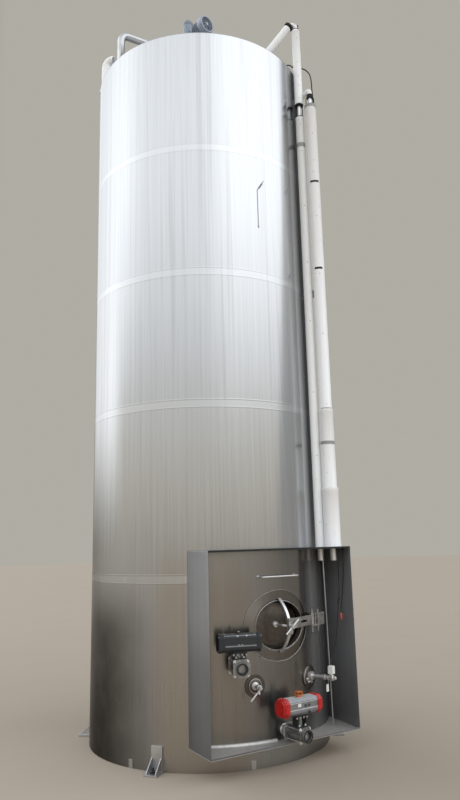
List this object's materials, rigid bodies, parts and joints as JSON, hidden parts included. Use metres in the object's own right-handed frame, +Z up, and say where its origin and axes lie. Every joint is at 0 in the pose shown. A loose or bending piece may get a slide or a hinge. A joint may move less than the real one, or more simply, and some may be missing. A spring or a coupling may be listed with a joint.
{
  "type": "vertical storage tank",
  "caption": "Tall insulated stainless steel storage tank with a hinged oval manway, valves and pipes in an alcove at its foot and an agitator drive on its roof.",
  "frame": {"origin": "centre of the tank's base, on the underside of its floor", "axes": "+Z up along the tank's axis; -Y towards the front, where the alcove with the manway is; +X to the right seen from the front"},
  "size_m": [2.2, 2.4928, 7.152],
  "materials": {
    "shell_steel": "brushed stainless sheet with rain streaks",
    "plate_steel": "dull folded stainless plate",
    "polished_steel": "polished sanitary fittings",
    "white_jacket": "white pipe jacket with scuffs",
    "motor_paint": "blue-grey machine paint",
    "black_coat": "black coated aluminium",
    "grey_coat": "hard anodised grey aluminium",
    "red_cap": "glossy red end caps",
    "orange_cap": "orange indicator cap",
    "black_rubber": "black cable sheath",
    "white_plastic": "white plastic housing",
    "pink_cap": "dull red plastic cap"
  },
  "bodies": {
    "tank": {"tank_floor": "shell_steel", "front_wall_left": "shell_steel", "front_wall_right": "shell_steel", "front_wall_over_manway": "shell_steel", "front_wall_under_manway": "shell_steel", "lower_wall_left": "shell_steel", "lower_wall_right": "shell_steel", "shell_course_2": "shell_steel", "shell_course_3": "shell_steel", "shell_course_4": "shell_steel", "shell_course_5": "shell_steel", "roof": "shell_steel", "manway_frame": "shell_steel", "roof_loop_pipe": "shell_steel", "agitator_stand": "shell_steel", "alcove_left_wing": "plate_steel", "alcove_right_wing": "plate_steel", "alcove_top_plate": "plate_steel", "alcove_tray": "plate_steel", "manway_hinge_bracket": "plate_steel", "pipe_clip": "plate_steel", "anchor_chair_1": "plate_steel", "anchor_chair_2": "plate_steel", "anchor_chair_3": "plate_steel", "anchor_chair_4": "plate_steel", "cleaning_pipe": "polished_steel", "overflow_pipe": "polished_steel", "grab_bar": "polished_steel", "upper_nozzle": "polished_steel", "upper_valve": "polished_steel", "sample_valve": "polished_steel", "sensor_port": "polished_steel", "sensor_head": "polished_steel", "outlet_nozzle": "polished_steel", "outlet_valve": "polished_steel", "roof_vent": "white_jacket", "roof_branch_jacket": "white_jacket", "cleaning_jacket_upper": "white_jacket", "cleaning_jacket": "white_jacket", "overflow_jacket": "white_jacket", "overflow_jacket_lower": "white_jacket", "drain_tube": "polished_steel", "agitator_gearbox": "motor_paint", "agitator_motor": "motor_paint", "upper_actuator": "black_coat", "outlet_actuator": "grey_coat", "outlet_actuator_left_cap": "red_cap", "outlet_actuator_right_cap": "red_cap", "outlet_indicator": "orange_cap", "sensor_cable": "black_rubber", "spare_cable": "black_rubber", "top_cable": "black_rubber", "sensor_box": "white_plastic", "spare_cable_cap": "pink_cap"},
    "manway": {"manway_door": "shell_steel", "manway_yoke": "plate_steel", "manway_hinge_arm": "plate_steel"},
    "manway_handle": {"manway_handle": "polished_steel"},
    "sample_lever": {"sample_valve_lever": "polished_steel"}
  },
  "joints": [
    {"name": "manway_swing", "type": "hinge", "parent": "tank", "child": "manway", "pos_m": [0.333, -1.155, 1.085], "axis": [0, 0, 1], "range_deg": [0, 110]},
    {"name": "handle_turn", "type": "hinge", "parent": "manway", "child": "manway_handle", "pos_m": [0.025, -1.28, 1.06], "axis": [0, -1, 0], "range_deg": [-180, 180]},
    {"name": "sample_lever_turn", "type": "hinge", "parent": "tank", "child": "sample_lever", "pos_m": [-0.24323, -1.19551, 0.612], "axis": [-0.1994, -0.9799, 0], "range_deg": [0, 90]}
  ]
}
